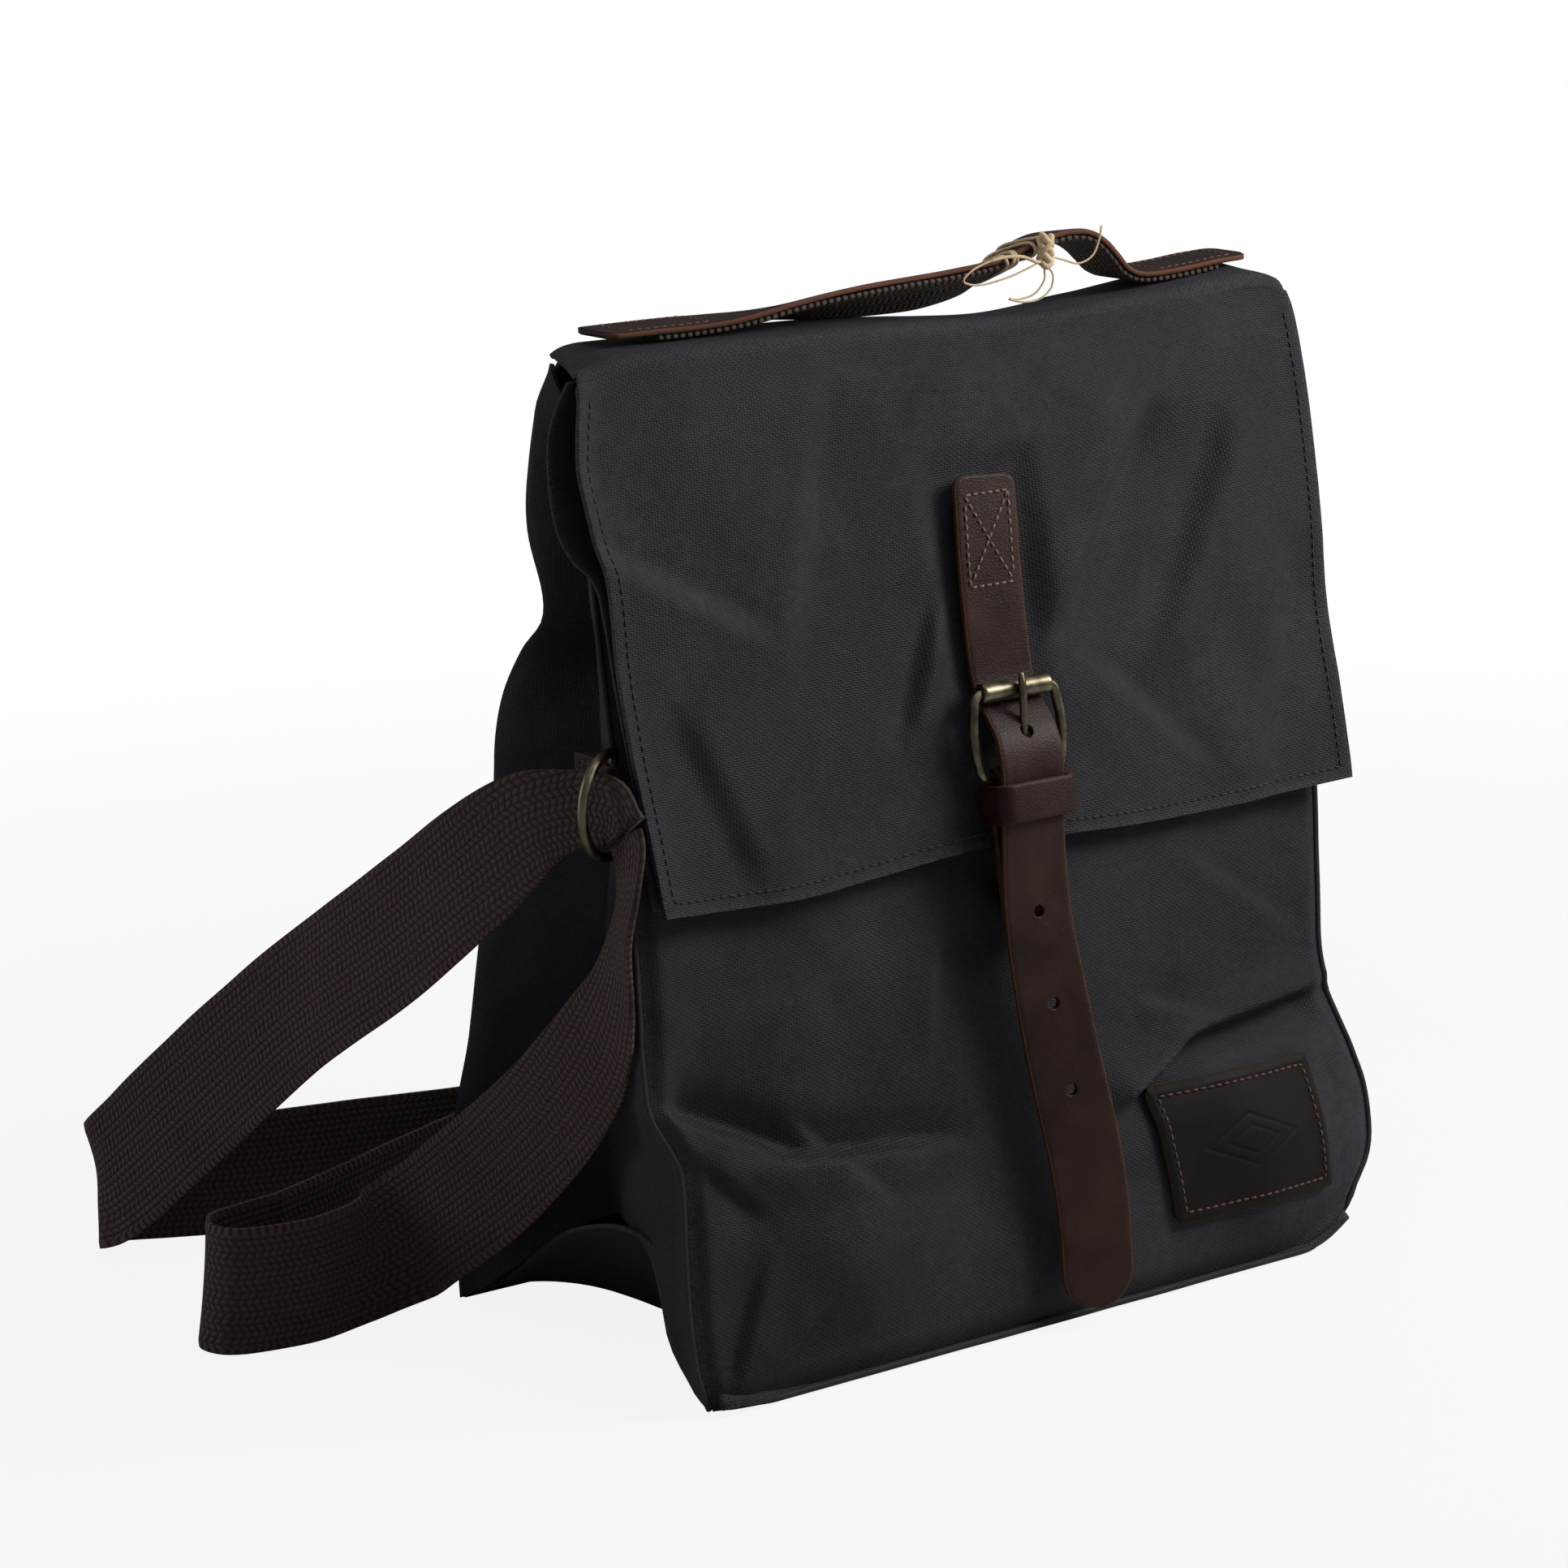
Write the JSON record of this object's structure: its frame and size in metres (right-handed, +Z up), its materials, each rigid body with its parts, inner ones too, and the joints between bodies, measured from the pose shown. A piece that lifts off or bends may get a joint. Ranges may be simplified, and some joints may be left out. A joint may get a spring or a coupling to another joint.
{
  "type": "messenger bag",
  "caption": "Upright waxed-canvas messenger bag: buckled front flap, top handle, side rings and an adjustable webbing shoulder strap lying beside and behind it.",
  "frame": {"origin": "centre of the base underside, where the bag stands", "axes": "+Z up, the front with the flap faces -Y, the right side seen from the front faces +X"},
  "size_m": [0.4186, 0.2913, 0.3721],
  "materials": {
    "canvas": "waxed canvas, dark navy, matte with a faint waxy sheen",
    "lining": "plain lining cloth, matte",
    "leather": "dark brown waxy leather, semi-matte, raw orange-brown edges",
    "dark_leather": "near-black embossed leather, semi-matte",
    "brass": "antique brass, worn satin",
    "webbing": "dark brown woven cotton webbing, matte",
    "thread": "waxed sewing thread, tan-pink, matte",
    "piping": "black cloth piping over cord, matte",
    "twine": "natural twine, matte"
  },
  "bodies": {
    "bag": {"front_panel": "canvas", "back_panel": "canvas", "bottom_panel": "canvas", "gusset_left": "canvas", "gusset_right": "canvas", "piping_left": "piping", "piping_right": "piping", "piping_base": "piping", "snap_base": "brass", "label_patch": "dark_leather", "label_stitching": "thread", "handle_leather": "leather", "handle_webbing": "webbing", "handle_stitching_left": "thread", "handle_stitching_right": "thread", "twine_tie": "twine", "ring_tab_left": "leather", "ring_tab_right": "leather", "shoulder_strap_loop": "webbing", "shoulder_strap_main": "webbing"},
    "flap": {"flap_outer": "canvas", "flap_lining": "lining", "closure_strap": "leather", "strap_stitching": "thread", "chape_tab": "leather", "snap_stud": "brass"},
    "buckle": {"buckle_frame": "brass"},
    "roller": {"buckle_roller": "brass"},
    "prong": {"buckle_prong": "brass"},
    "keeper": {"keeper_loop": "leather"},
    "left_ring": {"ring_left": "brass"},
    "right_ring": {"ring_right": "brass"},
    "slider": {"strap_slider": "brass"}
  },
  "joints": [
    {"name": "flap_hinge", "type": "hinge", "parent": "bag", "child": "flap", "pos_m": [0, -0.0225, 0.34], "axis": [-1, 0, 0], "range_deg": [0, 165]},
    {"name": "buckle_tilt", "type": "hinge", "parent": "flap", "child": "buckle", "pos_m": [0, -0.05643, 0.19169], "axis": [1, 0, 0], "range_deg": [0, 3]},
    {"name": "roller_spin", "type": "hinge", "parent": "buckle", "child": "roller", "pos_m": [0, -0.05227, 0.21989], "axis": [1, 0, 0], "continuous": true},
    {"name": "prong_pivot", "type": "hinge", "parent": "buckle", "child": "prong", "pos_m": [0, -0.05643, 0.19169], "axis": [1, 0, 0], "range_deg": [0, 4]},
    {"name": "keeper_slide", "type": "slide", "parent": "flap", "child": "keeper", "axis": [0, -0.1736, -0.9848], "range_m": [0, 0.008]},
    {"name": "left_ring_swing", "type": "hinge", "parent": "bag", "child": "left_ring", "pos_m": [-0.1485, -0.0312, 0.2], "axis": [0, 0, 1], "range_deg": [-70, 20], "deforming": ["shoulder_strap_loop"]},
    {"name": "right_ring_swing", "type": "hinge", "parent": "bag", "child": "right_ring", "pos_m": [0.1485, -0.0312, 0.2], "axis": [0, 0, -1], "range_deg": [-5, 80], "deforming": ["shoulder_strap_main"]},
    {"name": "slider_slide", "type": "slide", "parent": "bag", "child": "slider", "axis": [1, 0, 0], "range_m": [-0.02, 0.05]}
  ]
}
